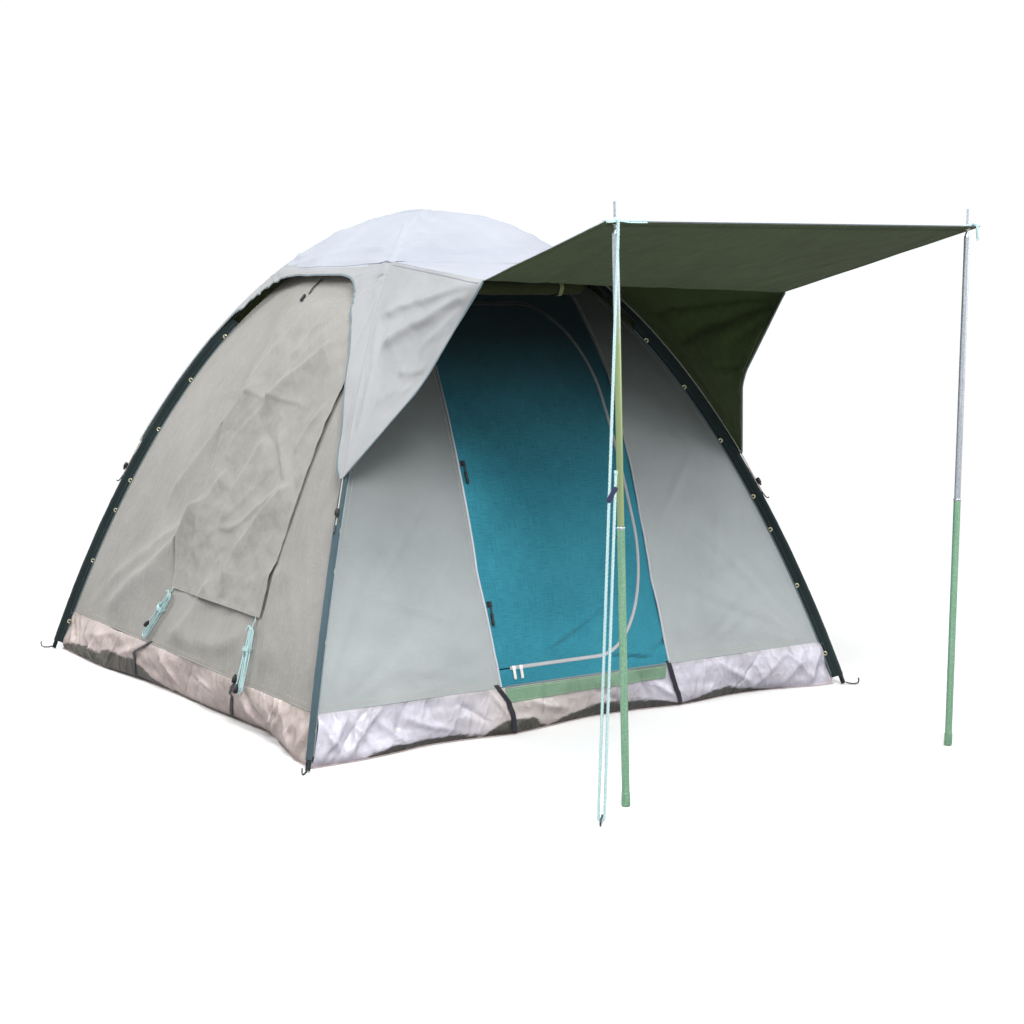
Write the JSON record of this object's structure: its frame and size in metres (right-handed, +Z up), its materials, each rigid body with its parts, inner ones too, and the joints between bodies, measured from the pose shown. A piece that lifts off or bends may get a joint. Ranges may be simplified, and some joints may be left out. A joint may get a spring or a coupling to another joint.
{
  "type": "bow tent with porch awning",
  "caption": "Square canvas tent on crossing bows, with flysheet, mesh door under a rolled storm door, window flaps and a porch awning on sliding poles.",
  "frame": {"origin": "middle of the groundsheet, on the ground", "axes": "-Y is the front with the door and the awning, +X is the right side seen from the front, +Z is up"},
  "size_m": [2.6088, 3.6066, 1.9674],
  "materials": {
    "tub_vinyl": "coated, slightly glossy",
    "canvas_tan": "matt canvas",
    "mesh_teal": "fine netting",
    "sill_green": "matt",
    "olive_canvas": "matt",
    "fly_canvas": "matt coated canvas",
    "strip_slate": "matt",
    "bow_composite": "satin composite tube",
    "peg_steel": "dark",
    "black_webbing": "woven",
    "pole_steel": "galvanised",
    "rope_mint": "braided",
    "black_plastic": "matt",
    "white_plastic": "satin"
  },
  "bodies": {
    "tent": {"groundsheet_floor": "tub_vinyl", "tub_wall_front": "tub_vinyl", "tub_wall_right": "tub_vinyl", "tub_wall_back": "tub_vinyl", "tub_wall_left": "tub_vinyl", "front_wall_left": "canvas_tan", "front_wall_right": "canvas_tan", "front_lintel": "canvas_tan", "door_surround": "mesh_teal", "door_sill": "sill_green", "storm_door_roll": "olive_canvas", "storm_roll_tie_left": "olive_canvas", "storm_roll_tie_right": "olive_canvas", "left_wall": "canvas_tan", "right_wall": "canvas_tan", "back_wall": "canvas_tan", "window_net_left": "mesh_teal", "window_net_right": "mesh_teal", "window_net_back": "mesh_teal", "inner_roof": "canvas_tan", "corner_sleeve_front_left": "strip_slate", "corner_sleeve_front_right": "strip_slate", "corner_sleeve_back_right": "strip_slate", "corner_sleeve_back_left": "strip_slate", "bow_leg_front_left": "bow_composite", "bow_leg_front_right": "bow_composite", "bow_leg_back_right": "bow_composite", "bow_leg_back_left": "bow_composite", "bow_arch_front_left_to_back_right": "bow_composite", "bow_arch_front_right_to_back_left": "bow_composite", "corner_peg_front_left": "peg_steel", "corner_peg_front_right": "peg_steel", "corner_peg_back_right": "peg_steel", "corner_peg_back_left": "peg_steel", "front_peg_strap_left": "black_webbing", "front_peg_strap_right": "black_webbing", "left_peg_strap_rear": "black_webbing", "left_peg_strap_front": "black_webbing", "flysheet_roof": "fly_canvas", "awning": "fly_canvas", "awning_wing_left": "fly_canvas", "awning_wing_right": "fly_canvas", "guy_rope": "rope_mint", "guy_peg": "peg_steel", "right_pole_tie": "rope_mint"},
    "mesh_door": {"mesh_door": "mesh_teal"},
    "zip_slider_outer": {"zip_slider_outer": "white_plastic"},
    "zip_slider_inner": {"zip_slider_inner": "white_plastic"},
    "door_toggle_upper": {"door_toggle_upper": "black_plastic"},
    "door_toggle_lower": {"door_toggle_lower": "black_plastic"},
    "window_flap_left": {"window_flap_left": "canvas_tan", "flap_rope_rear": "rope_mint", "flap_rope_front": "rope_mint"},
    "window_flap_right": {"window_flap_right": "canvas_tan"},
    "window_flap_back": {"window_flap_back": "canvas_tan"},
    "awning_pole_left_upper": {"awning_pole_left_upper": "pole_steel"},
    "awning_pole_left_lower": {"awning_pole_left_lower": "pole_steel"},
    "awning_pole_right_upper": {"awning_pole_right_upper": "pole_steel"},
    "awning_pole_right_lower": {"awning_pole_right_lower": "pole_steel"},
    "guy_runner": {"guy_runner": "black_plastic"}
  },
  "joints": [
    {"name": "mesh_door_swing", "type": "hinge", "parent": "tent", "child": "mesh_door", "pos_m": [-0.41506, -1.22354, 0.26825], "axis": [0, -0.422, -0.9066], "range_deg": [0, 28]},
    {"name": "zip_slider_outer_run", "type": "slide", "parent": "mesh_door", "child": "zip_slider_outer", "axis": [1, 0, 0], "range_m": [0, 0.4]},
    {"name": "zip_slider_inner_run", "type": "slide", "parent": "mesh_door", "child": "zip_slider_inner", "axis": [1, 0, 0], "range_m": [0, 0.4]},
    {"name": "door_toggle_upper_swing", "type": "hinge", "parent": "mesh_door", "child": "door_toggle_upper", "pos_m": [-0.39963, -0.89589, 0.985], "axis": [-1, 0, 0], "range_deg": [0, 50]},
    {"name": "door_toggle_lower_swing", "type": "hinge", "parent": "mesh_door", "child": "door_toggle_lower", "pos_m": [-0.40812, -1.09443, 0.475], "axis": [-1, 0, 0], "range_deg": [0, 50]},
    {"name": "window_flap_left_lift", "type": "hinge", "parent": "tent", "child": "window_flap_left", "pos_m": [-0.52417, -0.2, 1.6], "axis": [0, 1, 0], "range_deg": [0, 85]},
    {"name": "window_flap_right_lift", "type": "hinge", "parent": "tent", "child": "window_flap_right", "pos_m": [0.52417, -0.2, 1.6], "axis": [0, -1, 0], "range_deg": [0, 85]},
    {"name": "window_flap_back_lift", "type": "hinge", "parent": "tent", "child": "window_flap_back", "pos_m": [0, 0.52417, 1.6], "axis": [1, 0, 0], "range_deg": [0, 85]},
    {"name": "awning_pole_left_swing", "type": "hinge", "parent": "tent", "child": "awning_pole_left_upper", "pos_m": [-0.63564, -2.13934, 1.83792], "axis": [1, 0, 0], "range_deg": [-8, 8]},
    {"name": "awning_pole_left_extend", "type": "slide", "parent": "awning_pole_left_upper", "child": "awning_pole_left_lower", "axis": [-0.0251, 0.0161, 0.9996], "range_m": [0, 0.5]},
    {"name": "awning_pole_right_swing", "type": "hinge", "parent": "tent", "child": "awning_pole_right_upper", "pos_m": [0.88088, -2.18513, 1.85426], "axis": [1, 0, 0], "range_deg": [-8, 8]},
    {"name": "awning_pole_right_extend", "type": "slide", "parent": "awning_pole_right_upper", "child": "awning_pole_right_lower", "axis": [0.0106, 0.0064, 0.9999], "range_m": [0, 0.5]},
    {"name": "guy_runner_slide", "type": "slide", "parent": "tent", "child": "guy_runner", "axis": [0.0744, 0.0613, 0.9953], "range_m": [-0.4, 0.02]}
  ],
  "couplings": [
    {"joint": "zip_slider_inner_run", "follows": "zip_slider_outer_run", "ratio": 1}
  ]
}
